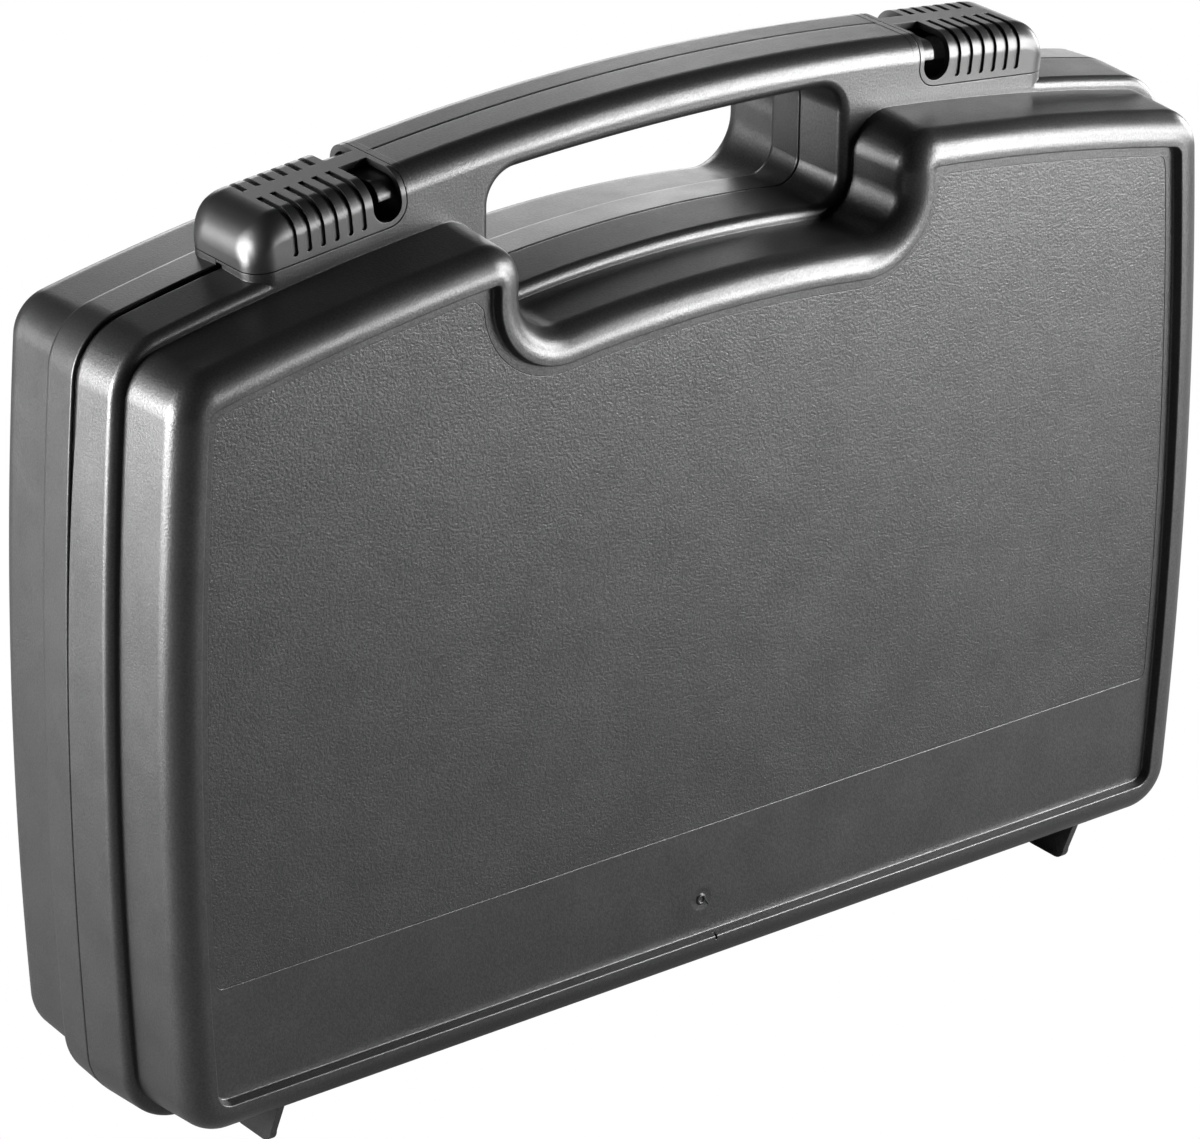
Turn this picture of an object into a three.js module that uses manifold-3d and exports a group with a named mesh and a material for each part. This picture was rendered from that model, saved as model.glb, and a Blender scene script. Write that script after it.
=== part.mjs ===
// Moulded microphone case with two shells, a handle made of both halves, two sliding latches,
// a pinned hinge along the bottom and foam inside. Millimetres, +Z up, case standing on its feet.
// X runs along the width, the lid faces -Y, and the seam between the shells is the plane y = 0.

import * as THREE from 'three';
import { mergeVertices } from 'three/addons/utils/BufferGeometryUtils.js';
import Module from 'manifold-3d';

const wasm = await Module();
wasm.setup();

// Outline of the rim, seen from the front
const caseWidth = 430;
const rimTopHeight = 288.5;
const topArchRise = 25;
const sideBow = 7.3;
const sideBowHalfSpan = 150;
const sideBowHeight = 131;
const bottomCornerRadius = 22.5;
const topCornerRadius = 21;

// Hand hole and the dip of the body below it
const holeHalfWidth = 69.5;
const holeHeight = 36.4;
const holeFloorRadius = 520;
const holeFloorCornerRadius = 8.4;
const holeTopCornerRadius = 10;
const holeCrownRadius = 1150;
const dipShoulderRadius = 18.5;

// Shells, measured from the seam
const frontDepth = 48.6;
const rearDepth = 48.6;
const frontRimDepth = 21;
const rearRimDepth = 16.8;
const rimEdgeRadius = 3.2;
const rimDraft = 0.8;
const seamGap = 0.3;
const seamChamfer = 0.6;
const bodyStep = 5;
const bodyDraft = 1.1;
const bodyEdgeRadius = 9;
const borderWidth = 1.8;
const panelRecess = 3.4;
const panelWallDraft = 0.6;
const wall = 2.6;
const tongueInset = 1.3;
const tongueHeight = 1.6;
const tongueClearance = 0.35;
const innerEdgeRadius = 5.4;

// Handle
const handleEnd = 101;
const handleRise = 17;
const handleEndDrop = 6;
const handleBarHeight = 13.5;
const handleEdgeRadius = 8;
const handleWall = 2.6;
const handleRibThickness = 2;
const handlePocketCount = 6;

// Latches, in the sloping frame of the strip that carries them
const latchLength = 57.5;
const latchClearance = 0.35;
const latchNoseRadius = 13;
const latchSideRadius = 8;
const latchWall = 2.2;
const cornerShare = 0.8;
const stripNearRise = 0;
const stripFarRise = 1.9;
const stripEndRadius = 8;
const collarWall = 1.7;
const windowWidth = 10.6;
const spineHalfWidth = 3.5;
const grooveCount = 6;
const grooveWidth = 1.5;
const grooveDepth = 1.2;
const groovePitch = 5.1;
const grooveSill = 2.4;
const firstGroove = 15.6;

// Stub at the handle's end that the closed latch holds, and the rail that carries the latch
const stubLength = 8.6;
const stubBottom = 8;
const stubClearance = 0.8;
const railStart = 15;
const railLength = 38;
const railWebNear = 4;
const railWebThickness = 2.5;
const railWebHeight = 6;
const railFlangeThickness = 2;
const railFlangeReach = 7.6;
const ledgeClearance = 0.8;

// Hinge under the rim
const hingeDrop = 4;
const knuckleRadius = 3.6;
const knuckleGap = 0.4;
const pinRadius = 1.5;
const pinClearance = 0.3;
const hingeInset = 110;
const outerKnuckleLength = 12;
const middleKnuckleLength = 22;

// Feet
const footDrop = 9;
const footThickness = 2.4;
const footInset = 48.5;
const footStagger = 9;
const footNear = 17;
const footLength = 21;
const footFlare = 4.4;
const footEdgeRadius = 4.4;

// Foam
const foamClearance = 0.5;
const basePadThickness = 5.8;
const slotMargin = 71;
const slotWidth = 42;
const slotHeadRadius = 29;
const slotRows = 2;
const pocketHeight = 50;
const pocketTopMargin = 24;
const pocketMargin = 31;
const pocketGap = 27;
const receiverShare = 0.6;
const pocketCornerRadius = 8;

const overrun = 5;
const quarter = Math.PI / 2;

// Heights that follow from one another, from the rim's top up to the handle and down through the hand hole
const handleCrownHeight = rimTopHeight + handleRise;
const holeCrownHeight = handleCrownHeight - handleBarHeight;
const holeFloorHeight = holeCrownHeight - holeHeight;

// Solids: closed geometries joined and cut as manifolds

function signedVolume(vertices, triangles) {
  const a = new THREE.Vector3();
  const b = new THREE.Vector3();
  const c = new THREE.Vector3();
  let sum = 0;
  for (let i = 0; i < triangles.length; i += 3) {
    a.fromArray(vertices, 3 * triangles[i]);
    b.fromArray(vertices, 3 * triangles[i + 1]);
    c.fromArray(vertices, 3 * triangles[i + 2]);
    sum += a.dot(b.cross(c));
  }
  return sum;
}

function solid(geometry) {
  const bare = geometry.clone();
  bare.deleteAttribute('normal');
  bare.deleteAttribute('uv');
  const merged = mergeVertices(bare, 1e-5);
  const vertProperties = new Float32Array(merged.attributes.position.array);
  const triVerts = new Uint32Array(merged.index.array);
  if (signedVolume(vertProperties, triVerts) < 0) {
    for (let i = 0; i < triVerts.length; i += 3) {
      [triVerts[i], triVerts[i + 1]] = [triVerts[i + 1], triVerts[i]];
    }
  }
  return new wasm.Manifold(new wasm.Mesh({ numProp: 3, vertProperties, triVerts }));
}

function joined(...solids) {
  return solids.reduce((sum, next) => sum.add(next));
}

function cut(body, ...tools) {
  return tools.reduce((rest, tool) => rest.subtract(tool), body);
}

function geometryOf(manifold) {
  const mesh = manifold.getMesh();
  const geometry = new THREE.BufferGeometry();
  geometry.setAttribute('position', new THREE.BufferAttribute(new Float32Array(mesh.vertProperties), 3));
  geometry.setIndex(new THREE.BufferAttribute(new Uint32Array(mesh.triVerts), 1));
  geometry.computeVertexNormals();
  return geometry;
}

// Triangles over a flat contour, wound the way the contour runs
function capTriangles(contour) {
  const faces = THREE.ShapeUtils.triangulateShape(contour, []);
  const runsBackwards = THREE.ShapeUtils.isClockWise(contour);
  return runsBackwards ? faces.map(([a, b, c]) => [a, c, b]) : faces;
}

// Closed loft through rings that all have the same number of points; flat(ring) gives 2-D points for the caps
function loft(rings, flat) {
  const count = rings[0].length;
  const positions = rings.flat().flatMap((p) => [p.x, p.y, p.z]);
  const index = [];
  for (let r = 0; r < rings.length - 1; r++) {
    for (let i = 0; i < count; i++) {
      const j = (i + 1) % count;
      const a = r * count + i;
      const b = r * count + j;
      index.push(a, b, b + count, a, b + count, a + count);
    }
  }
  const last = (rings.length - 1) * count;
  for (const [a, b, c] of capTriangles(rings[0].map(flat))) {
    index.push(a, c, b);
  }
  for (const [a, b, c] of capTriangles(rings[rings.length - 1].map(flat))) {
    index.push(last + a, last + b, last + c);
  }
  const geometry = new THREE.BufferGeometry();
  geometry.setAttribute('position', new THREE.Float32BufferAttribute(positions, 3));
  geometry.setIndex(index);
  return geometry;
}

const frontView = (p) => new THREE.Vector2(p.x, p.z);
const endView = (p) => new THREE.Vector2(p.y, p.z);

function box(x0, x1, y0, y1, z0, z1) {
  const geometry = new THREE.BoxGeometry(Math.abs(x1 - x0), Math.abs(y1 - y0), Math.abs(z1 - z0));
  geometry.translate((x0 + x1) / 2, (y0 + y1) / 2, (z0 + z1) / 2);
  return solid(geometry);
}

// Prism along Y of a shape drawn in X and Z
function prismY(shape, y0, y1, curveSegments) {
  const geometry = new THREE.ExtrudeGeometry(shape, { depth: y1 - y0, bevelEnabled: false, curveSegments });
  geometry.rotateX(quarter);
  geometry.translate(0, y1, 0);
  return solid(geometry);
}

// Outlines: points with outward normals, arcs tangent to each other

function arc(centre, radius, from, to, steps, outward = 1) {
  const points = [];
  for (let i = 0; i < steps; i++) {
    const angle = from + ((to - from) * i) / steps;
    const normal = new THREE.Vector2(Math.cos(angle), Math.sin(angle));
    points.push({
      x: centre.x + radius * normal.x,
      z: centre.z + radius * normal.y,
      nx: outward * normal.x,
      nz: outward * normal.y,
    });
  }
  return points;
}

function mirrored(half) {
  const left = half.map((p) => ({ x: -p.x, z: p.z, nx: -p.nx, nz: p.nz })).reverse();
  return half.concat(left.filter((p) => Math.abs(p.x) > 1e-9));
}

const angleTo = (from, to) => Math.atan2(to.z - from.z, to.x - from.x);

// Circles that make up the rim outline's right half
const sideRadius = (sideBowHalfSpan ** 2 + sideBow ** 2) / (2 * sideBow);
const archRadius = ((caseWidth / 2) ** 2 + topArchRise ** 2) / (2 * topArchRise);
const sideCentre = { x: caseWidth / 2 - sideRadius, z: sideBowHeight };
const archCentre = { x: 0, z: rimTopHeight - archRadius };
const bottomSpan = sideRadius - bottomCornerRadius;
const bottomDrop = sideCentre.z - bottomCornerRadius;
const bottomReach = Math.sqrt(bottomSpan ** 2 - bottomDrop ** 2);
const bottomCentre = { x: sideCentre.x + bottomReach, z: bottomCornerRadius };

// Centre of the corner circle that lies inside both the side's circle and the top's circle
function topCornerCentre() {
  const a = sideRadius - topCornerRadius;
  const b = archRadius - topCornerRadius;
  const dx = archCentre.x - sideCentre.x;
  const dz = archCentre.z - sideCentre.z;
  const distance = Math.hypot(dx, dz);
  const along = (a * a - b * b + distance * distance) / (2 * distance);
  const across = Math.sqrt(a * a - along * along);
  return {
    x: sideCentre.x + (along * dx - across * dz) / distance,
    z: sideCentre.z + (along * dz + across * dx) / distance,
  };
}
const topCentre = topCornerCentre();
const archTop = (x) => archCentre.z + Math.sqrt(archRadius ** 2 - x ** 2);

const cornerSteps = 6;
const sideSteps = 4;
const archSteps = 4;
const shoulderSteps = 4;
const floorSteps = 2;

function lowerRight() {
  const a1 = angleTo(sideCentre, bottomCentre);
  const a2 = angleTo(sideCentre, topCentre);
  const a3 = angleTo(archCentre, topCentre);
  return [
    ...arc(bottomCentre, bottomCornerRadius, -quarter, a1, cornerSteps),
    ...arc(sideCentre, sideRadius, a1, a2, sideSteps),
    ...arc(topCentre, topCornerRadius, a2, a3, cornerSteps),
  ];
}

// Rim outline without the hand hole
const rimOutline = mirrored([
  ...lowerRight(),
  ...arc(archCentre, archRadius, angleTo(archCentre, topCentre), quarter, 2 * archSteps),
  { x: 0, z: rimTopHeight, nx: 0, nz: 1 },
]);

// Circles of the hand hole and of the dip's shoulder
const floorCentre = { x: 0, z: holeFloorHeight - holeFloorRadius };
const floorCornerX = holeHalfWidth - holeFloorCornerRadius;
const floorCorner = {
  x: floorCornerX,
  z: floorCentre.z + Math.sqrt((holeFloorRadius + holeFloorCornerRadius) ** 2 - floorCornerX ** 2),
};
const shoulderX = holeHalfWidth + dipShoulderRadius;
const shoulder = {
  x: shoulderX,
  z: archCentre.z + Math.sqrt((archRadius - dipShoulderRadius) ** 2 - shoulderX ** 2),
};

// Body outline with the dip below the handle
const dipOutline = mirrored([
  ...lowerRight(),
  ...arc(archCentre, archRadius, angleTo(archCentre, topCentre), angleTo(archCentre, shoulder), archSteps),
  ...arc(shoulder, dipShoulderRadius, angleTo(archCentre, shoulder), Math.PI, shoulderSteps),
  { x: holeHalfWidth, z: shoulder.z, nx: -1, nz: 0 },
  ...arc(floorCorner, holeFloorCornerRadius, 0, angleTo(floorCorner, floorCentre), shoulderSteps, -1),
  ...arc(floorCentre, holeFloorRadius, angleTo(floorCentre, floorCorner), quarter, floorSteps),
  { x: 0, z: holeFloorHeight, nx: 0, nz: 1 },
]);

// Hand hole: the dip's floor and walls, closed by the handle's underside; normals point out of the hole
const crownCentre = { x: 0, z: holeCrownHeight - holeCrownRadius };
const crownCornerX = holeHalfWidth - holeTopCornerRadius;
const crownCorner = {
  x: crownCornerX,
  z: crownCentre.z + Math.sqrt((holeCrownRadius - holeTopCornerRadius) ** 2 - crownCornerX ** 2),
};
const holeOutline = mirrored([
  { x: 0, z: holeFloorHeight, nx: 0, nz: -1 },
  ...arc(floorCentre, holeFloorRadius, quarter, angleTo(floorCentre, floorCorner), floorSteps, -1).slice(1),
  ...arc(floorCorner, holeFloorCornerRadius, angleTo(floorCorner, floorCentre), 0, shoulderSteps),
  ...arc(crownCorner, holeTopCornerRadius, 0, angleTo(crownCentre, crownCorner), shoulderSteps),
  ...arc(crownCentre, holeCrownRadius, angleTo(crownCentre, crownCorner), quarter, archSteps),
  { x: 0, z: holeCrownHeight, nx: 0, nz: 1 },
]);

// One ring of an outline, moved inwards by inset, at depth y
function ring(outline, inset, y) {
  return outline.map((p) => new THREE.Vector3(p.x - inset * p.nx, y, p.z - inset * p.nz));
}

// Loft of an outline through a profile of [inset, depth] rows; side is -1 for the lid and 1 for the base
function profileLoft(outline, profile, side) {
  return solid(loft(profile.map(([inset, depth]) => ring(outline, inset, side * depth)), frontView));
}

// Quarter round from the flank to the face: rows of [inset, depth]
function roundedEdge(inset, depth, radius, steps) {
  const rows = [];
  for (let i = 0; i <= steps; i++) {
    const angle = (quarter * i) / steps;
    rows.push([inset + radius * (1 - Math.cos(angle)), depth - radius * (1 - Math.sin(angle))]);
  }
  return rows;
}

const edgeSteps = 3;
const bodyEdgeSteps = 4;
const innerEdgeSteps = 2;

function rimProfile(rimDepth) {
  return [
    [seamChamfer, seamGap / 2],
    [0, seamGap / 2 + seamChamfer],
    ...roundedEdge(rimDraft, rimDepth, rimEdgeRadius, edgeSteps),
  ];
}

function bodyProfile(rimDepth, depth) {
  const flank = bodyStep + bodyDraft;
  const lip = flank + bodyEdgeRadius + borderWidth;
  return [
    [bodyStep, rimDepth - wall],
    [bodyStep, rimDepth],
    ...roundedEdge(flank, depth, bodyEdgeRadius, bodyEdgeSteps),
    [lip, depth],
    [lip + panelWallDraft, depth - panelRecess],
  ];
}

const innerStep = bodyStep + wall;
const innerFlank = innerStep + bodyDraft;

function cavityProfile(rimDepth, depth) {
  return [
    [wall, -overrun],
    [wall + rimDraft, rimDepth - wall],
    [innerStep, rimDepth - wall],
    ...roundedEdge(innerFlank, depth - panelRecess - wall, innerEdgeRadius, innerEdgeSteps),
  ];
}

// Handle: block from the rim up to the handle's arched top, rounded along its outer edge
const handleRadius = (handleEnd ** 2 + handleEndDrop ** 2) / (2 * handleEndDrop);
const handleCentre = { x: 0, z: handleCrownHeight - handleRadius };
const handleSteps = 12;

function handleArch(inset, end) {
  const points = [];
  for (let i = 0; i <= handleSteps; i++) {
    const x = end - (2 * end * i) / handleSteps;
    const z = handleCentre.z + Math.sqrt((handleRadius - inset) ** 2 - x ** 2);
    points.push({ x, z });
  }
  return points;
}

function handleBlock(rimDepth, side) {
  const foot = shoulder.z - holeTopCornerRadius;
  const rows = [
    [seamChamfer, seamGap / 2],
    [0, seamGap / 2 + seamChamfer],
    ...roundedEdge(0, rimDepth, handleEdgeRadius, bodyEdgeSteps),
  ];
  const rings = rows.map(([inset, depth]) => {
    const arch = handleArch(inset, handleEnd);
    const outline = [...arch, { x: -handleEnd, z: foot }, { x: handleEnd, z: foot }];
    return outline.map((p) => new THREE.Vector3(p.x, side * depth, p.z));
  });
  return solid(loft(rings, frontView));
}

// Pockets inside the handle, with ribs left between them
function handlePockets(rimDepth, side) {
  const end = holeHalfWidth;
  const pitch = (2 * end) / handlePocketCount;
  const pockets = [];
  for (let i = 0; i < handlePocketCount; i++) {
    const x0 = -end + i * pitch + handleRibThickness / 2;
    const x1 = x0 + pitch - handleRibThickness;
    const shape = [];
    for (const x of [x0, (x0 + x1) / 2, x1]) {
      shape.push({ x, z: crownCentre.z + Math.sqrt((holeCrownRadius + handleWall) ** 2 - x ** 2) });
    }
    for (const x of [x1, (x0 + x1) / 2, x0]) {
      shape.push({ x, z: handleCentre.z + Math.sqrt((handleRadius - handleWall) ** 2 - x ** 2) });
    }
    const deep = rimDepth - handleEdgeRadius + handleWall;
    const rings = [-overrun, deep].map((y) => shape.map((p) => new THREE.Vector3(p.x, side * y, p.z)));
    pockets.push(solid(loft(rings, frontView)));
  }
  return pockets;
}

// The strip follows the rim's arch, and the latch ends level with the handle
const stripNearHeight = archTop(handleEnd) + stripNearRise;
const stripFarHeight = archTop(handleEnd + latchLength) + stripFarRise;
const latchSlope = Math.atan2(stripNearHeight - stripFarHeight, latchLength);
const latchHeight = handleCrownHeight - handleEndDrop - stripNearHeight;

// Sloping frame of a latch: local x runs outwards along the strip, local z stands up from it
function latchPlacement(hand) {
  const placement = new THREE.Matrix4().makeRotationY(latchSlope);
  placement.setPosition(handleEnd, 0, stripNearHeight);
  return hand < 0 ? new THREE.Matrix4().makeScale(-1, 1, 1).multiply(placement) : placement;
}

function placedOnStrip(manifold, hand) {
  return solid(geometryOf(manifold).applyMatrix4(latchPlacement(hand)));
}

// The latch's lower corner at the handle is round about the window's own centre, and the shells fill it up
const windowStart = latchClearance + collarWall;
const windowSill = windowStart;
const collarRadius = windowWidth / 2 + collarWall;
const collarCentre = latchClearance + collarRadius;

const stripSteps = 4;
const grooveSteps = 3;

function cornerShape(radius, back) {
  const shape = new THREE.Shape();
  shape.moveTo(-back, -back);
  shape.lineTo(collarCentre, -back);
  shape.lineTo(collarCentre, collarCentre - radius);
  shape.absarc(collarCentre, collarCentre, radius, -quarter, -2 * quarter, true);
  shape.lineTo(-back, collarCentre);
  return shape;
}

// Strip under a latch, with the handle's end and the stub; the base also has the rail that carries the latch
function latchStrip(rimDepth, side, hand) {
  const near = side * (seamGap / 2);
  const far = side * rimDepth;
  const plan = new THREE.Shape();
  plan.moveTo(-handleWall, near);
  plan.lineTo(latchLength, near);
  const bend = far - side * stripEndRadius;
  plan.lineTo(latchLength, bend);
  plan.absarc(latchLength - stripEndRadius, bend, stripEndRadius, 0, side * quarter, side < 0);
  plan.lineTo(-handleWall, far);
  const depth = latchHeight;
  const strip = new THREE.ExtrudeGeometry(plan, { depth, bevelEnabled: false, curveSegments: stripSteps });
  strip.translate(0, 0, -depth);
  const [y0, y1] = side < 0 ? [far, near] : [near, far];
  const pieces = [
    solid(strip),
    prismY(cornerShape(collarCentre, handleWall), y0, y1, cornerSteps),
    sectionSlice(rimDepth, side, 0, 0, 0),
    sectionSlice(rimDepth, side, latchWall + stubClearance, stubLength, stubBottom),
  ];
  if (side > 0) {
    pieces.push(latchRail());
  }
  return placedOnStrip(joined(...pieces), hand);
}

// One shell's half of the latch's section, moved inwards by inset, from inside the handle to the given end
function sectionSlice(rimDepth, side, inset, end, bottom) {
  const section = latchSection(frontRimDepth, rearRimDepth, latchHeight, inset, 0);
  const rings = [-handleWall, end].map((x) => section.map((p) => new THREE.Vector3(x, p.y, p.z)));
  const near = side * (seamGap / 2);
  const far = side * (rimDepth + overrun);
  const keep = box(-overrun, end + overrun, near, far, bottom, latchHeight + overrun);
  return solid(loft(rings, endView)).intersect(keep);
}

function latchRail() {
  const web = box(railStart, railStart + railLength, railWebNear, railWebNear + railWebThickness,
    -overrun, railWebHeight + railFlangeThickness);
  const flange = box(railStart, railStart + railLength, railWebNear, railWebNear + railFlangeReach,
    railWebHeight, railWebHeight + railFlangeThickness);
  return joined(web, flange);
}

// Latch cross-section in Y and Z, open side down, moved inwards by inset
function latchSection(front, rear, height, inset, bottom) {
  const top = height - inset;
  const radius = Math.min(Math.max(handleEdgeRadius - inset, grooveDepth), cornerShare * (top - bottom));
  const corner = roundedEdge(0, top, radius, bodyEdgeSteps);
  return [
    { y: -front + inset, z: bottom },
    ...corner.map(([across, z]) => ({ y: -front + inset + across, z })),
    ...corner.reverse().map(([across, z]) => ({ y: rear - inset - across, z })),
    { y: rear - inset, z: bottom },
  ];
}

// How far a quarter round of the given radius has fallen at distance x along the latch
function noseFall(x, end, radius) {
  const along = Math.max(0, x - (end - radius));
  return radius - Math.sqrt(Math.max(0, radius ** 2 - along ** 2));
}

const noseSteps = 5;

// Latch body from start to its nose, moved inwards by inset
function latchForm(start, inset, bottom) {
  const end = latchLength - inset;
  const top = Math.max(latchNoseRadius - inset, grooveDepth);
  const side = Math.max(latchSideRadius - inset, grooveDepth);
  const stations = [start, end - top];
  for (let i = 1; i <= noseSteps; i++) {
    stations.push(end - top + top * Math.sin((quarter * i) / noseSteps));
  }
  const rings = stations.map((x) => {
    const narrow = noseFall(x, end, side);
    const height = latchHeight - noseFall(x, end, top);
    const section = latchSection(frontRimDepth - narrow, rearRimDepth - narrow, height, inset, bottom);
    return section.map((p) => new THREE.Vector3(x, p.y, p.z));
  });
  return solid(loft(rings, endView));
}

// Slot with round ends drawn in the latch's long section
function slotShape(x, width, sill, top) {
  const shape = new THREE.Shape();
  const radius = width / 2;
  shape.moveTo(x + width, top);
  shape.lineTo(x, top);
  shape.lineTo(x, sill + radius);
  shape.absarc(x + radius, sill + radius, radius, Math.PI, 2 * Math.PI, false);
  return shape;
}

function latch(hand) {
  const outer = latchForm(latchClearance, 0, latchClearance);
  const hollow = latchForm(-overrun, latchWall, -overrun);
  const skin = latchForm(-overrun, grooveDepth, -overrun);
  const top = latchHeight + overrun;
  const reach = frontRimDepth + overrun;
  const windows = [];
  const grooves = [];
  for (const side of [-1, 1]) {
    const [y0, y1] = side < 0 ? [-reach, -spineHalfWidth] : [spineHalfWidth, reach];
    windows.push(prismY(slotShape(windowStart, windowWidth, windowSill, top), y0, y1, cornerSteps));
    for (let i = 0; i < grooveCount; i++) {
      const x = firstGroove + i * groovePitch;
      grooves.push(prismY(slotShape(x, grooveWidth, grooveSill, top), y0, y1, grooveSteps));
    }
  }
  const ledgeTop = railWebHeight - ledgeClearance;
  const ledgeEnd = latchLength - latchWall;
  const ledgeStart = windowStart + windowWidth + ledgeClearance;
  const ledgeNear = railWebNear + railWebThickness + ledgeClearance;
  const ledge = box(ledgeStart, ledgeEnd, ledgeNear, rearRimDepth, latchClearance, ledgeTop)
    .intersect(latchForm(-overrun, latchWall / 2, -overrun));
  const corner = prismY(cornerShape(collarRadius, overrun), -reach, reach, cornerSteps);
  const shell = cut(outer, hollow, corner, ...windows, cut(joined(...grooves), skin));
  return placedOnStrip(joined(shell, ledge), hand);
}

const barrelSteps = 16;
const pinSteps = 12;

// Hinge knuckles: barrel with a web up to the rim, bored for the pin
function knuckle(x0, x1, side) {
  const barrel = new THREE.CylinderGeometry(knuckleRadius, knuckleRadius, x1 - x0, barrelSteps);
  barrel.rotateZ(quarter);
  barrel.translate((x0 + x1) / 2, 0, -hingeDrop);
  const web = box(x0, x1, side * (seamGap / 2), side * knuckleRadius, -hingeDrop, tongueInset);
  return joined(solid(barrel), web);
}

const hingeCentre = caseWidth / 2 - hingeInset;
const hingeHalf = middleKnuckleLength / 2 + knuckleGap + outerKnuckleLength;

function pinBody(hand, radius, length) {
  const pin = new THREE.CylinderGeometry(radius, radius, length, pinSteps);
  pin.rotateZ(quarter);
  pin.translate(hand * hingeCentre, 0, -hingeDrop);
  return solid(pin);
}

function hingeKnuckles(side) {
  const half = middleKnuckleLength / 2;
  return [-1, 1].flatMap((hand) => {
    const centre = hand * hingeCentre;
    if (side < 0) {
      return [knuckle(centre - half, centre + half, side)];
    }
    return [
      knuckle(centre - hingeHalf, centre - half - knuckleGap, side),
      knuckle(centre + half + knuckleGap, centre + hingeHalf, side),
    ];
  });
}

const footSteps = 3;

// Feet: thin blades across the bottom edge
function foot(x, side) {
  const near = footNear;
  const far = footNear + footLength;
  const shape = new THREE.Shape();
  const top = bodyStep + wall / 2;
  shape.moveTo(near - footFlare, top);
  shape.lineTo(near, -footDrop + footEdgeRadius);
  shape.quadraticCurveTo(near, -footDrop, near + footEdgeRadius, -footDrop);
  shape.lineTo(far - footEdgeRadius, -footDrop);
  shape.quadraticCurveTo(far, -footDrop, far, -footDrop + footEdgeRadius);
  shape.lineTo(far + footFlare, top);
  const depth = footThickness;
  const geometry = new THREE.ExtrudeGeometry(shape, { depth, bevelEnabled: false, curveSegments: footSteps });
  const place = new THREE.Matrix4().makeBasis(
    new THREE.Vector3(0, side, 0),
    new THREE.Vector3(0, 0, 1),
    new THREE.Vector3(1, 0, 0),
  );
  place.setPosition(x - footThickness / 2, 0, 0);
  geometry.applyMatrix4(place);
  return solid(geometry);
}

function shell(side) {
  const rimDepth = side < 0 ? frontRimDepth : rearRimDepth;
  const depth = side < 0 ? frontDepth : rearDepth;
  const footX = caseWidth / 2 - footInset - (side < 0 ? 0 : footStagger);
  const parts = [
    profileLoft(rimOutline, rimProfile(rimDepth), side),
    handleBlock(rimDepth, side),
    latchStrip(rimDepth, side, -1),
    latchStrip(rimDepth, side, 1),
    ...hingeKnuckles(side),
    foot(-footX, side),
    foot(footX, side),
  ];
  const holeProfile = [
    [-seamChamfer, -overrun],
    ...rimProfile(rimDepth).map(([inset, y]) => [-inset, y]),
    [-rimEdgeRadius - rimDraft, rimDepth + overrun],
  ];
  let body = joined(...parts);
  body = cut(body, profileLoft(holeOutline, holeProfile, side), ...handlePockets(rimDepth, side));
  body = body.add(profileLoft(dipOutline, bodyProfile(rimDepth, depth), side));
  if (side < 0) {
    body = body.add(profileLoft(dipOutline, [[tongueInset, -tongueHeight], [tongueInset, wall]], side));
  } else {
    const inset = tongueInset - tongueClearance;
    const rebate = [[inset, -overrun], [inset, tongueHeight + tongueClearance]];
    body = cut(body, profileLoft(dipOutline, rebate, side));
  }
  const bores = [-1, 1].map((hand) => pinBody(hand, pinRadius + pinClearance, 2 * hingeHalf + overrun));
  return cut(body, profileLoft(dipOutline, cavityProfile(rimDepth, depth), side), ...bores);
}

// Foam pieces

function roundedSlab(width, height, radius, x, z) {
  const shape = new THREE.Shape();
  const [x0, x1, z0, z1] = [x - width / 2, x + width / 2, z, z + height];
  shape.moveTo(x0 + radius, z0);
  shape.lineTo(x1 - radius, z0);
  shape.absarc(x1 - radius, z0 + radius, radius, -quarter, 0, false);
  shape.lineTo(x1, z1 - radius);
  shape.absarc(x1 - radius, z1 - radius, radius, 0, quarter, false);
  shape.lineTo(x0 + radius, z1);
  shape.absarc(x0 + radius, z1 - radius, radius, quarter, Math.PI, false);
  shape.lineTo(x0, z0 + radius);
  shape.absarc(x0 + radius, z0 + radius, radius, Math.PI, 3 * quarter, false);
  return shape;
}

const foamInset = innerFlank + foamClearance;
const rearFloor = rearDepth - panelRecess - wall;
const frontFloor = frontDepth - panelRecess - wall;
const traySeat = rearFloor - 2 * foamClearance - basePadThickness;
const trayHalfWidth = caseWidth / 2 - foamInset;
const pocketBottom = holeFloorHeight - foamInset - pocketTopMargin - pocketHeight;
const pocketSteps = 4;

function baseFoam() {
  const tray = profileLoft(dipOutline, [[foamInset, foamClearance], [foamInset, traySeat]], 1);
  const through = (shape) => prismY(shape, -overrun, rearDepth, pocketSteps);
  const reach = trayHalfWidth - pocketMargin;
  const split = -reach + receiverShare * (2 * reach - pocketGap);
  const tools = [[-reach, split], [split + pocketGap, reach]].map(([x0, x1]) => through(
    roundedSlab(x1 - x0, pocketHeight, pocketCornerRadius, (x0 + x1) / 2, pocketBottom),
  ));
  const slotEnd = trayHalfWidth - slotMargin;
  for (let row = 0; row < slotRows; row++) {
    const height = foamInset + ((row + 1 / 2) * (pocketBottom - foamInset)) / slotRows;
    const low = height - slotWidth / 2;
    tools.push(through(roundedSlab(2 * slotEnd, slotWidth, pocketCornerRadius, 0, low)));
    const head = new THREE.Shape();
    head.absarc(slotEnd - slotHeadRadius, height, slotHeadRadius, 0, 4 * quarter, false);
    tools.push(through(head));
  }
  return cut(tray, ...tools);
}

function basePad() {
  const inset = innerFlank + innerEdgeRadius + foamClearance;
  const near = rearFloor - foamClearance - basePadThickness;
  return profileLoft(dipOutline, [[inset, near], [inset, rearFloor - foamClearance]], 1);
}

function lidFoam() {
  const bevel = innerEdgeRadius;
  const far = frontFloor - foamClearance;
  return profileLoft(dipOutline, [
    [foamInset, foamClearance],
    [foamInset, far - bevel],
    [foamInset + bevel, far],
  ], -1);
}

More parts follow.
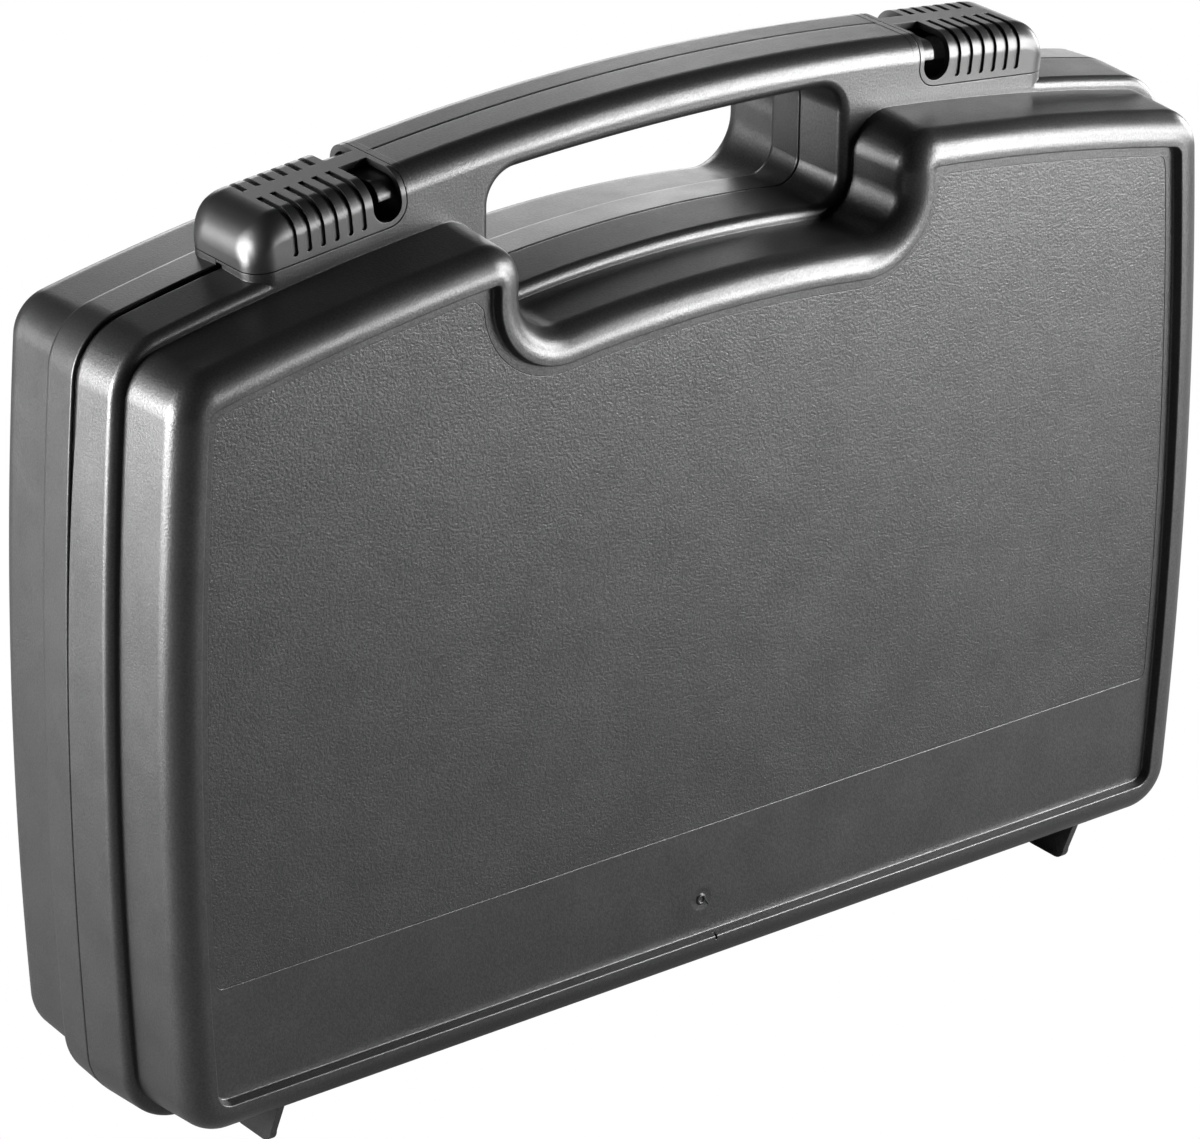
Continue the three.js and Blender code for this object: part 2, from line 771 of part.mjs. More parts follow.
// Assembly: raised so that the feet stand on z = 0, and centred between front and back

const plastic = { color: 0x2b2b2b, roughness: 0.55, metalness: 0 };
const latchPlastic = { color: 0x242424, roughness: 0.42, metalness: 0 };
const steel = { color: 0x9a9a9a, roughness: 0.35, metalness: 1 };
const foam = { color: 0x1c1c1c, roughness: 0.95, metalness: 0 };

const part = new THREE.Group();
part.position.set(0, (frontDepth - rearDepth) / 2, footDrop);

function place(name, manifold, finish) {
  const mesh = new THREE.Mesh(geometryOf(manifold), new THREE.MeshStandardMaterial(finish));
  mesh.name = name;
  part.add(mesh);
}

place('rear_shell', shell(1), plastic);
place('front_shell', shell(-1), plastic);
place('latch_left', latch(-1), latchPlastic);
place('latch_right', latch(1), latchPlastic);
place('hinge_pin_left', pinBody(-1, pinRadius, 2 * hingeHalf), steel);
place('hinge_pin_right', pinBody(1, pinRadius, 2 * hingeHalf), steel);
place('base_foam', baseFoam(), foam);
place('base_pad', basePad(), foam);
place('lid_foam', lidFoam(), foam);

export default part;
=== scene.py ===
"""Looks of the moulded microphone case: shells, latches, pins and foam, studio light and camera.

Sizes are millimetres in the case's own frame: X along the width, the lid faces -Y, the seam is
the plane y = 0 and the rim's bottom is z = 0. to_frame() turns them into metres on the floor.
Materials, studio and camera are in metres.
"""

import math

import bmesh
import bpy
from mathutils import Matrix, Vector


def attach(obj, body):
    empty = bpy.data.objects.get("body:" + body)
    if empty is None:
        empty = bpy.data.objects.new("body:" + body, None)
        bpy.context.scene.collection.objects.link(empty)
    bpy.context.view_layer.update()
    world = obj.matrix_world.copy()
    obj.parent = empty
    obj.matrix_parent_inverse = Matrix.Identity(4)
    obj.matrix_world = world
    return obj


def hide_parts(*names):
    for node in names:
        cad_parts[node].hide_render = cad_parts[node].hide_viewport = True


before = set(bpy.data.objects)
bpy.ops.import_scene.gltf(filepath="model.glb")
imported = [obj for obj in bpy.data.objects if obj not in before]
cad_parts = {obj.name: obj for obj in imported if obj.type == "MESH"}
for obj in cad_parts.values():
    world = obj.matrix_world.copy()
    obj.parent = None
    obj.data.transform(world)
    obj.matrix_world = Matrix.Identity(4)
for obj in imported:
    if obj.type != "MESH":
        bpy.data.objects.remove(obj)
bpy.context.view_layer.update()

# Outline of the rim, seen from the front
CASE_WIDTH = 430
RIM_TOP = 288.5
ARCH_RISE = 25
SIDE_BOW = 7.3
SIDE_BOW_HALF_SPAN = 150
SIDE_BOW_HEIGHT = 131
BOTTOM_CORNER_RADIUS = 22.5
TOP_CORNER_RADIUS = 21

# Hand hole and the dip of the body below it
HOLE_HALF_WIDTH = 69.5
HOLE_HEIGHT = 36.4
HOLE_FLOOR_RADIUS = 520
HOLE_FLOOR_CORNER = 8.4
HOLE_TOP_CORNER = 10
HOLE_CROWN_RADIUS = 1150
DIP_SHOULDER_RADIUS = 18.5

# Shells, measured from the seam
DEPTH = 48.6
FRONT_RIM = 21
REAR_RIM = 16.8
RIM_EDGE_RADIUS = 3.2
RIM_DRAFT = 0.8
SEAM_GAP = 0.3
SEAM_ROUND = 0.6
BODY_STEP = 5
BODY_DRAFT = 1.1
BODY_EDGE_RADIUS = 9
BORDER = 1.8
PANEL_RECESS = 3.4
PANEL_WALL_DRAFT = 0.6
LIP_ROUND = 0.45
WALL = 2.6
TONGUE_INSET = 1.3
TONGUE_HEIGHT = 1.6
TONGUE_CLEARANCE = 0.35
INNER_EDGE_RADIUS = 5.4

# Handle
HANDLE_END = 101
HANDLE_RISE = 17
HANDLE_END_DROP = 6
HANDLE_BAR = 13.5
HANDLE_EDGE_RADIUS = 8
HANDLE_WALL = 2.6
HANDLE_RIB = 2
HANDLE_POCKETS = 6

# Latches, in the sloping frame of the strip that carries them
LATCH_LENGTH = 57.5
LATCH_CLEARANCE = 0.35
LATCH_NOSE_RADIUS = 13
LATCH_SIDE_RADIUS = 8
LATCH_WALL = 2.2
CORNER_SHARE = 0.8
STRIP_FAR_RISE = 1.9
STRIP_END_RADIUS = 8
COLLAR_WALL = 1.7
WINDOW_WIDTH = 10.6
SPINE_HALF_WIDTH = 3.5
GROOVES = 6
GROOVE_WIDTH = 2.1
GROOVE_DEPTH = 0.85
GROOVE_PITCH = 5.1
GROOVE_SILL = 2.4
FIRST_GROOVE = 15.6

# Stub at the handle's end and the rail that carries the latch
STUB_LENGTH = 8.6
STUB_BOTTOM = 8
STUB_CLEARANCE = 0.8
RAIL_START = 15
RAIL_LENGTH = 38
RAIL_WEB_NEAR = 4
RAIL_WEB = 2.5
RAIL_WEB_HEIGHT = 6
RAIL_FLANGE = 2
RAIL_REACH = 7.6
LEDGE_CLEARANCE = 0.8

# Hinge under the rim
HINGE_DROP = 4
KNUCKLE_RADIUS = 3.6
KNUCKLE_GAP = 0.4
PIN_RADIUS = 1.5
PIN_END_ROUND = 0.3
PIN_CLEARANCE = 0.3
HINGE_MARGIN = 110
OUTER_KNUCKLE = 12
MIDDLE_KNUCKLE = 22

# Feet
FOOT_DROP = 9
FOOT_THICKNESS = 2.4
FOOT_MARGIN = 48.5
FOOT_STAGGER = 9
FOOT_NEAR = 17
FOOT_LENGTH = 21
FOOT_FLARE = 4.4
FOOT_EDGE = 4.4

# Foam
FOAM_CLEARANCE = 0.5
FOAM_EDGE = 1.2
PAD_THICKNESS = 5.8
SLOT_MARGIN = 71
SLOT_WIDTH = 42
SLOT_HEAD_RADIUS = 29
SLOT_ROWS = 2
POCKET_HEIGHT = 50
POCKET_TOP_MARGIN = 24
POCKET_MARGIN = 31
POCKET_GAP = 27
RECEIVER_SHARE = 0.6
POCKET_CORNER = 8

# Grained field, sunk into the lid's recessed panel
FIELD_INSET = 21
FIELD_BOTTOM = 56.6
FIELD_SUNK = 0.15
FIELD_FIT = 0.03
FIELD_CORNER = 3
FIELD_TOLERANCE = 0.05
FIELD_TURN_STEP = 0.2

# Gate mark on the panel and the nick in the lip below it
GATE_X = -0.9
GATE_HEIGHT = 30
GATE_DIMPLE_RADIUS = 4.4
GATE_DIMPLE_DEPTH = 0.3
GATE_BRIM_SHARE = 1.1
FLASH_ROOT = 0.5
FLASH_RISE = 0.55
NICK_X = 3.1
NICK_WIDTH = 0.7
NICK_BELOW = 1.5
NICK_ABOVE = 1

# Crater in the gate's dimple as (radius, rise), and the sliver of flash on it as (x, z)
CRATER_PROFILE = (
    (2.1, -0.5),
    (2.1, 0),
    (1.9, 0.25),
    (1.6, 0.55),
    (1.35, 0.6),
    (1.1, 0.5),
    (0.8, 0),
    (0.4, -0.3),
)
FLASH_OUTLINE = ((0.9, 0.3), (2.9, -2.6), (3.1, -2.5), (1.4, 0.6))

# Stretch where the lid's rim stands open, from the left latch down the side
OPEN_SEAM_GAP = 2.6
OPEN_SEAM_DEPTH = 1.6
OPEN_SEAM_BEVEL = 0.4
OPEN_SEAM_LOW = 120
OPEN_SEAM_HIGH = 240
OPEN_SEAM_EASE = 2.5

# Reach of cuts past a surface, far and near
OVERRUN = 5
SMALL_OVERRUN = 1

# Worked out from the sizes above
HANDLE_CROWN = RIM_TOP + HANDLE_RISE
HOLE_CROWN = HANDLE_CROWN - HANDLE_BAR
HOLE_FLOOR = HOLE_CROWN - HOLE_HEIGHT
FLANK_INSET = BODY_STEP + BODY_DRAFT
LIP_INSET = FLANK_INSET + BODY_EDGE_RADIUS + BORDER
PANEL_FACE = DEPTH - PANEL_RECESS
INNER_FLOOR = PANEL_FACE - WALL
INNER_STEP = BODY_STEP + WALL
INNER_FLANK = INNER_STEP + BODY_DRAFT
WINDOW_START = LATCH_CLEARANCE + COLLAR_WALL
WINDOW_SILL = WINDOW_START
COLLAR_RADIUS = WINDOW_WIDTH / 2 + COLLAR_WALL
COLLAR_CENTRE = LATCH_CLEARANCE + COLLAR_RADIUS
HINGE_CENTRE = CASE_WIDTH / 2 - HINGE_MARGIN
HINGE_HALF = MIDDLE_KNUCKLE / 2 + KNUCKLE_GAP + OUTER_KNUCKLE
FRONT_FOOT_X = CASE_WIDTH / 2 - FOOT_MARGIN
REAR_FOOT_X = FRONT_FOOT_X - FOOT_STAGGER

# Straight steps that a curve is made of
CORNER_STEPS = 20
SIDE_STEPS = 40
ARCH_STEPS = 40
SHOULDER_STEPS = 20
EDGE_STEPS = 10
SEAM_STEPS = 4
LIP_STEPS = 4
HANDLE_STEPS = 60
POCKET_STEPS = 4
NOSE_STEPS = 24
WINDOW_STEPS = 24
COLLAR_STEPS = 24
GROOVE_STEPS = 8
STRIP_END_STEPS = 12
ROUND_STEPS = 40
FOOT_STEPS = 6
POCKET_CORNER_STEPS = 8
SLOT_HEAD_STEPS = 48
DIMPLE_STEPS = 8

QUARTER = math.pi / 2
ON_AXIS = 1e-9


# Curves


def quarter_turn(steps):
    """Angles from 0 to a quarter turn, both ends included."""
    return [QUARTER * i / steps for i in range(steps + 1)]


def circle(x, z, radius, steps):
    angles = [2 * math.pi * i / steps for i in range(steps)]
    return [(x + radius * math.cos(a), z + radius * math.sin(a)) for a in angles]


# Outlines: lists of (x, z, outward normal x, outward normal z)


def arc(centre, radius, start, end, steps, outward=1):
    points = []
    for i in range(steps):
        a = start + (end - start) * i / steps
        nx, nz = math.cos(a), math.sin(a)
        points.append(
            (
                centre[0] + radius * nx,
                centre[1] + radius * nz,
                outward * nx,
                outward * nz,
            )
        )
    return points


def mirrored(half):
    return half + [
        (-x, z, -nx, nz) for x, z, nx, nz in reversed(half) if abs(x) > ON_AXIS
    ]


def angle_to(a, b):
    return math.atan2(b[1] - a[1], b[0] - a[0])


side_radius = (SIDE_BOW_HALF_SPAN**2 + SIDE_BOW**2) / (2 * SIDE_BOW)
arch_radius = ((CASE_WIDTH / 2) ** 2 + ARCH_RISE**2) / (2 * ARCH_RISE)
side_centre = (CASE_WIDTH / 2 - side_radius, SIDE_BOW_HEIGHT)
arch_centre = (0, RIM_TOP - arch_radius)
bottom_centre = (
    side_centre[0]
    + math.sqrt(
        (side_radius - BOTTOM_CORNER_RADIUS) ** 2
        - (side_centre[1] - BOTTOM_CORNER_RADIUS) ** 2
    ),
    BOTTOM_CORNER_RADIUS,
)


def top_corner_centre():
    """Centre of the round that touches both the bowed side and the arched top."""
    from_side = side_radius - TOP_CORNER_RADIUS
    from_arch = arch_radius - TOP_CORNER_RADIUS
    dx, dz = arch_centre[0] - side_centre[0], arch_centre[1] - side_centre[1]
    distance = math.hypot(dx, dz)
    along = (from_side * from_side - from_arch * from_arch + distance * distance) / (2 * distance)
    across = math.sqrt(from_side * from_side - along * along)
    return (
        side_centre[0] + (along * dx - across * dz) / distance,
        side_centre[1] + (along * dz + across * dx) / distance,
    )


top_centre = top_corner_centre()


def right_side():
    """The right half from the bottom corner to the end of the top corner."""
    side_start = angle_to(side_centre, bottom_centre)
    side_end = angle_to(side_centre, top_centre)
    arch_start = angle_to(arch_centre, top_centre)
    return (
        arc(bottom_centre, BOTTOM_CORNER_RADIUS, -QUARTER, side_start, CORNER_STEPS)
        + arc(side_centre, side_radius, side_start, side_end, SIDE_STEPS)
        + arc(top_centre, TOP_CORNER_RADIUS, side_end, arch_start, CORNER_STEPS)
    )


rim_outline = mirrored(
    right_side()
    + arc(
        arch_centre,
        arch_radius,
        angle_to(arch_centre, top_centre),
        QUARTER,
        2 * ARCH_STEPS,
    )
    + [(0, RIM_TOP, 0, 1)]
)

floor_centre = (0, HOLE_FLOOR - HOLE_FLOOR_RADIUS)
floor_corner_x = HOLE_HALF_WIDTH - HOLE_FLOOR_CORNER
floor_corner = (
    floor_corner_x,
    floor_centre[1]
    + math.sqrt((HOLE_FLOOR_RADIUS + HOLE_FLOOR_CORNER) ** 2 - floor_corner_x**2),
)
shoulder_x = HOLE_HALF_WIDTH + DIP_SHOULDER_RADIUS
shoulder = (
    shoulder_x,
    arch_centre[1]
    + math.sqrt((arch_radius - DIP_SHOULDER_RADIUS) ** 2 - shoulder_x**2),
)

dip_outline = mirrored(
    right_side()
    + arc(
        arch_centre,
        arch_radius,
        angle_to(arch_centre, top_centre),
        angle_to(arch_centre, shoulder),
        ARCH_STEPS,
    )
    + arc(
        shoulder,
        DIP_SHOULDER_RADIUS,
        angle_to(arch_centre, shoulder),
        math.pi,
        SHOULDER_STEPS,
    )
    + [(HOLE_HALF_WIDTH, shoulder[1], -1, 0)]
    + arc(
        floor_corner,
        HOLE_FLOOR_CORNER,
        0,
        angle_to(floor_corner, floor_centre),
        SHOULDER_STEPS,
        -1,
    )
    + arc(
        floor_centre,
        HOLE_FLOOR_RADIUS,
        angle_to(floor_centre, floor_corner),
        QUARTER,
        SHOULDER_STEPS,
    )
    + [(0, HOLE_FLOOR, 0, 1)]
)

crown_centre = (0, HOLE_CROWN - HOLE_CROWN_RADIUS)
crown_corner_x = HOLE_HALF_WIDTH - HOLE_TOP_CORNER
crown_corner = (
    crown_corner_x,
    crown_centre[1]
    + math.sqrt((HOLE_CROWN_RADIUS - HOLE_TOP_CORNER) ** 2 - crown_corner_x**2),
)
hole_outline = mirrored(
    [(0, HOLE_FLOOR, 0, -1)]
    + arc(
        floor_centre,
        HOLE_FLOOR_RADIUS,
        QUARTER,
        angle_to(floor_centre, floor_corner),
        SHOULDER_STEPS,
        -1,
    )[1:]
    + arc(
        floor_corner,
        HOLE_FLOOR_CORNER,
        angle_to(floor_corner, floor_centre),
        0,
        SHOULDER_STEPS,
    )
    + arc(
        crown_corner,
        HOLE_TOP_CORNER,
        0,
        angle_to(crown_centre, crown_corner),
        SHOULDER_STEPS,
    )
    + arc(
        crown_centre,
        HOLE_CROWN_RADIUS,
        angle_to(crown_centre, crown_corner),
        QUARTER,
        SHOULDER_STEPS,
    )
    + [(0, HOLE_CROWN, 0, 1)]
)


# Meshes: closed bodies joined and cut


def loft(rings):
    """Closed mesh through rings that all have the same number of points."""
    bm = bmesh.new()
    rows = [[bm.verts.new(p) for p in ring] for ring in rings]
    count = len(rows[0])
    for low, high in zip(rows, rows[1:]):
        for i in range(count):
            j = (i + 1) % count
            bm.faces.new((low[i], low[j], high[j], high[i]))
    bm.faces.new(rows[0][::-1])
    bm.faces.new(rows[-1])
    bmesh.ops.recalc_face_normals(bm, faces=bm.faces[:])
    mesh = bpy.data.meshes.new("work")
    bm.to_mesh(mesh)
    bm.free()
    return mesh


def boolean(base, operation, *tools):
    """base with the tools joined, cut or intersected one after the other."""
    scene = bpy.context.scene.collection
    body = bpy.data.objects.new("work", base)
    scene.objects.link(body)
    helpers = []
    for tool in tools:
        helper = bpy.data.objects.new("work_tool", tool)
        scene.objects.link(helper)
        helpers.append(helper)
        step = body.modifiers.new("step", "BOOLEAN")
        step.operation = operation
        step.solver = "MANIFOLD"
        step.object = helper
    shown = body.evaluated_get(bpy.context.evaluated_depsgraph_get())
    result = bpy.data.meshes.new_from_object(shown)
    for o in [body, *helpers]:
        bpy.data.objects.remove(o)
    return result


def joined(*meshes):
    return boolean(meshes[0], "UNION", *meshes[1:])


def cut(body, *tools):
    return boolean(body, "DIFFERENCE", *tools)


def box(x0, x1, y0, y1, z0, z1):
    return loft(
        [[(x0, y, z0), (x1, y, z0), (x1, y, z1), (x0, y, z1)] for y in (y0, y1)]
    )


def prism_y(points, y0, y1):
    return loft([[(x, y, z) for x, z in points] for y in (y0, y1)])


def ring(outline, inset, y):
    return [(x - inset * nx, y, z - inset * nz) for x, z, nx, nz in outline]


def profile_loft(outline, profile, side):
    """Loft of an outline through [inset, depth] rows; side is -1 for the lid, 1 for the base."""
    return loft([ring(outline, inset, side * depth) for inset, depth in profile])


def rounded_edge(inset, depth, radius, steps):
    """Quarter round from the flank to the face, as [inset, depth] rows."""
    return [
        [inset + radius * (1 - math.cos(a)), depth - radius * (1 - math.sin(a))]
        for a in quarter_turn(steps)
    ]


def seam_edge():
    """Small round from the seam's face to the flank."""
    return [
        [SEAM_ROUND * (1 - math.sin(a)), SEAM_GAP / 2 + SEAM_ROUND * (1 - math.cos(a))]
        for a in quarter_turn(SEAM_STEPS)
    ]


def rim_profile(rim):
    return seam_edge() + rounded_edge(RIM_DRAFT, rim, RIM_EDGE_RADIUS, EDGE_STEPS)


def body_profile(rim):
    """Flank, round edge, border, lip and the foot of the recess, down to the panel."""
    rows = [[BODY_STEP, rim - WALL], [BODY_STEP, rim]]
    rows += rounded_edge(FLANK_INSET, DEPTH, BODY_EDGE_RADIUS, 2 * EDGE_STEPS)
    inset, depth = LIP_INSET - LIP_ROUND, DEPTH - LIP_ROUND
    rows += [
        [inset + LIP_ROUND * math.sin(a), depth + LIP_ROUND * math.cos(a)]
        for a in quarter_turn(LIP_STEPS)
    ]
    foot = LIP_INSET + PANEL_WALL_DRAFT
    rows += [
        [foot + LIP_ROUND * (1 - math.cos(a)), PANEL_FACE + LIP_ROUND * (1 - math.sin(a))]
        for a in quarter_turn(LIP_STEPS)
    ]
    return rows


def cavity_profile(rim):
    return [
        [WALL, -OVERRUN],
        [WALL + RIM_DRAFT, rim - WALL],
        [INNER_STEP, rim - WALL],
        *rounded_edge(INNER_FLANK, INNER_FLOOR, INNER_EDGE_RADIUS, EDGE_STEPS),
    ]


# Handle

handle_radius = (HANDLE_END**2 + HANDLE_END_DROP**2) / (2 * HANDLE_END_DROP)
handle_centre_z = HANDLE_CROWN - handle_radius


def handle_block(rim, side):
    """One shell's half of the arched handle, solid down to the body's shoulders."""
    low = shoulder[1] - HOLE_TOP_CORNER
    rings = []
    for inset, depth in seam_edge() + rounded_edge(
        0, rim, HANDLE_EDGE_RADIUS, 2 * EDGE_STEPS
    ):
        points = []
        for i in range(HANDLE_STEPS + 1):
            x = HANDLE_END - 2 * HANDLE_END * i / HANDLE_STEPS
            z = handle_centre_z + math.sqrt((handle_radius - inset) ** 2 - x * x)
            points.append((x, side * depth, z))
        points += [(-HANDLE_END, side * depth, low), (HANDLE_END, side * depth, low)]
        rings.append(points)
    return loft(rings)


def handle_pockets(rim, side):
    """Hollows between the ribs inside the handle."""
    pitch = 2 * HOLE_HALF_WIDTH / HANDLE_POCKETS
    deep = rim - HANDLE_EDGE_RADIUS + HANDLE_WALL
    under = HOLE_CROWN_RADIUS + HANDLE_WALL
    over = handle_radius - HANDLE_WALL
    pockets = []
    for i in range(HANDLE_POCKETS):
        x0 = -HOLE_HALF_WIDTH + i * pitch + HANDLE_RIB / 2
        xs = [
            x0 + (pitch - HANDLE_RIB) * k / POCKET_STEPS for k in range(POCKET_STEPS + 1)
        ]
        points = [(x, crown_centre[1] + math.sqrt(under**2 - x * x)) for x in xs]
        points += [
            (x, handle_centre_z + math.sqrt(over**2 - x * x)) for x in reversed(xs)
        ]
        pockets.append(
            loft([[(x, side * y, z) for x, z in points] for y in (-OVERRUN, deep)])
        )
    return pockets


# Latches


def arch_top(x):
    return arch_centre[1] + math.sqrt(arch_radius**2 - x * x)


strip_height = arch_top(HANDLE_END)
strip_fall = strip_height - arch_top(HANDLE_END + LATCH_LENGTH) - STRIP_FAR_RISE
latch_height = HANDLE_CROWN - HANDLE_END_DROP - strip_height


def on_strip(mesh, hand):
    """Moves a mesh from the strip's sloping frame to the case's frame."""
    turn = Matrix.Rotation(math.atan2(strip_fall, LATCH_LENGTH), 4, "Y")
    place = Matrix.Translation((HANDLE_END, 0, strip_height)) @ turn
    if hand < 0:
        place = Matrix.Scale(-1, 4, (1, 0, 0)) @ place
    mesh.transform(place)
    if hand < 0:
        mesh.flip_normals()
    return mesh


def latch_section(front, rear, height, inset, bottom):
    """Section across a latch as (y, z), open side down, moved inwards by inset."""
    top = height - inset
    radius = min(HANDLE_EDGE_RADIUS - inset, CORNER_SHARE * (top - bottom))
    corner = rounded_edge(0, top, radius, 2 * EDGE_STEPS)
    return (
        [(-front + inset, bottom)]
        + [(-front + inset + across, z) for across, z in corner]
        + [(rear - inset - across, z) for across, z in reversed(corner)]
        + [(rear - inset, bottom)]
    )


def nose_fall(x, end, radius):
    """How far a round that ends at end has fallen at x."""
    along = max(0, x - (end - radius))
    return radius - math.sqrt(max(0, radius**2 - along**2))


def latch_form(start, inset, bottom):
    """The latch as a full solid with a round nose, moved inwards by inset."""
    end = LATCH_LENGTH - inset
    top = LATCH_NOSE_RADIUS - inset
    flank = LATCH_SIDE_RADIUS - inset
    stations = [start]
    stations += [end - top + top * math.sin(a) for a in quarter_turn(NOSE_STEPS)]
    rings = []
    for x in stations:
        narrow = nose_fall(x, end, flank)
        height = latch_height - nose_fall(x, end, top)
        section = latch_section(
            FRONT_RIM - narrow, REAR_RIM - narrow, height, inset, bottom
        )
        rings.append([(x, y, z) for y, z in section])
    return loft(rings)


def slot_points(x, width, sill, top, steps):
    """Upright slot with a round lower end."""
    r = width / 2
    angles = [math.pi + math.pi * i / steps for i in range(steps + 1)]
    points = [(x + width, top), (x, top)]
    return points + [
        (x + r + r * math.cos(a), sill + r + r * math.sin(a)) for a in angles
    ]


def corner_points(radius, back):
    """Corner under a latch at the handle, left over by a quarter round."""
    points = [(-back, -back), (COLLAR_CENTRE, -back)]
    for turn in quarter_turn(COLLAR_STEPS):
        a = -QUARTER - turn
        points.append(
            (COLLAR_CENTRE + radius * math.cos(a), COLLAR_CENTRE + radius * math.sin(a))
        )
    return points + [(-back, COLLAR_CENTRE)]


def latch(hand):
    """Hollow saddle with windows, grooves, a collar and a ledge; hand is -1 left, 1 right."""
    top = latch_height + OVERRUN
    reach = FRONT_RIM + OVERRUN
    windows, grooves = [], []
    for y0, y1 in ((-reach, -SPINE_HALF_WIDTH), (SPINE_HALF_WIDTH, reach)):
        window = slot_points(WINDOW_START, WINDOW_WIDTH, WINDOW_SILL, top, WINDOW_STEPS)
        windows.append(prism_y(window, y0, y1))
        for i in range(GROOVES):
            x = FIRST_GROOVE + i * GROOVE_PITCH
            groove = slot_points(x, GROOVE_WIDTH, GROOVE_SILL, top, GROOVE_STEPS)
            grooves.append(prism_y(groove, y0, y1))
    ledge_near = RAIL_WEB_NEAR + RAIL_WEB + LEDGE_CLEARANCE
    ledge = boolean(
        box(
            WINDOW_START + WINDOW_WIDTH + LEDGE_CLEARANCE,
            LATCH_LENGTH - LATCH_WALL,
            ledge_near,
            REAR_RIM,
            LATCH_CLEARANCE,
            RAIL_WEB_HEIGHT - LEDGE_CLEARANCE,
        ),
        "INTERSECT",
        latch_form(-OVERRUN, LATCH_WALL / 2, -OVERRUN),
    )
    shell_form = cut(
        latch_form(LATCH_CLEARANCE, 0, LATCH_CLEARANCE),
        latch_form(-OVERRUN, LATCH_WALL, -OVERRUN),
        prism_y(corner_points(COLLAR_RADIUS, OVERRUN), -reach, reach),
        *windows,
        cut(joined(*grooves), latch_form(-OVERRUN, GROOVE_DEPTH, -OVERRUN)),
    )
    return on_strip(joined(shell_form, ledge), hand)


def section_slice(rim, side, inset, end, bottom):
    """One shell's half of the latch's section, from inside the handle to end."""
    section = latch_section(FRONT_RIM, REAR_RIM, latch_height, inset, 0)
    near, far = sorted((side * SEAM_GAP / 2, side * (rim + OVERRUN)))
    return boolean(
        loft([[(x, y, z) for y, z in section] for x in (-HANDLE_WALL, end)]),
        "INTERSECT",
        box(-OVERRUN, end + OVERRUN, near, far, bottom, latch_height + OVERRUN),
    )


def rail():
    """Web and flange that the latch's ledge runs under."""
    end = RAIL_START + RAIL_LENGTH
    top = RAIL_WEB_HEIGHT + RAIL_FLANGE
    web_far = RAIL_WEB_NEAR + RAIL_WEB
    flange_far = RAIL_WEB_NEAR + RAIL_REACH
    return [
        box(RAIL_START, end, RAIL_WEB_NEAR, web_far, -OVERRUN, top),
        box(RAIL_START, end, RAIL_WEB_NEAR, flange_far, RAIL_WEB_HEIGHT, top),
    ]


def latch_strip(rim, side, hand):
    """What one shell adds beside the handle: strip, fillet, stub and the base's rail."""
    near, far = side * SEAM_GAP / 2, side * rim
    bend = far - side * STRIP_END_RADIUS
    end = LATCH_LENGTH - STRIP_END_RADIUS
    plan = [(-HANDLE_WALL, near), (LATCH_LENGTH, near)]
    plan += [
        (end + STRIP_END_RADIUS * math.cos(a), bend + side * STRIP_END_RADIUS * math.sin(a))
        for a in quarter_turn(STRIP_END_STEPS)
    ]
    plan.append((-HANDLE_WALL, far))
    strip = loft([[(x, y, z) for x, y in plan] for z in (-latch_height, 0)])
    fillet = prism_y(corner_points(COLLAR_CENTRE, HANDLE_WALL), *sorted((near, far)))
    stub_inset = LATCH_WALL + STUB_CLEARANCE
    pieces = [
        strip,
        fillet,
        section_slice(rim, side, 0, 0, 0),
        section_slice(rim, side, stub_inset, STUB_LENGTH, STUB_BOTTOM),
    ]
    if side > 0:
        pieces += rail()
    return on_strip(joined(*pieces), hand)


# Hinge


def cylinder_x(x0, x1, radius, end_round=0):
    """Cylinder along X on the hinge's axis, its ends bevelled by end_round."""
    rows = [(x0, radius), (x1, radius)]
    if end_round:
        narrow = radius - end_round
        rows = [(x0, narrow), (x0 + end_round, radius)]
        rows += [(x1 - end_round, radius), (x1, narrow)]
    return loft(
        [[(x, y, z) for y, z in circle(0, -HINGE_DROP, r, ROUND_STEPS)] for x, r in rows]
    )


def knuckle(x0, x1, side):
    """Round knuckle with the web that joins it to the rim."""
    web_near, web_far = sorted((side * SEAM_GAP / 2, side * KNUCKLE_RADIUS))
    web = box(x0, x1, web_near, web_far, -HINGE_DROP, TONGUE_INSET)
    return joined(cylinder_x(x0, x1, KNUCKLE_RADIUS), web)


def hinge_knuckles(side):
    """The lid has the middle knuckle of each hinge, the base the outer two."""
    half = MIDDLE_KNUCKLE / 2
    spans = [(-half, half)]
    if side > 0:
        spans = [(-HINGE_HALF, -half - KNUCKLE_GAP), (half + KNUCKLE_GAP, HINGE_HALF)]
    return [
        knuckle(centre + x0, centre + x1, side)
        for centre in (-HINGE_CENTRE, HINGE_CENTRE)
        for x0, x1 in spans
    ]


# Feet


def foot(x, side):
    """Thin blade across the rim, wider at its top, with two round lower corners."""
    near, far = FOOT_NEAR, FOOT_NEAR + FOOT_LENGTH
    top = BODY_STEP + WALL / 2
    turn = [
        (FOOT_EDGE * (1 - math.cos(a)), FOOT_EDGE * (1 - math.sin(a)))
        for a in quarter_turn(FOOT_STEPS)
    ]
    points = [(near - FOOT_FLARE, top)]
    points += [(near + out, -FOOT_DROP + up) for out, up in turn]
    points += [(far - up, -FOOT_DROP + out) for out, up in turn]
    points.append((far + FOOT_FLARE, top))
    half = FOOT_THICKNESS / 2
    return loft([[(x + d, side * y, z) for y, z in points] for d in (-half, half)])


# Shells


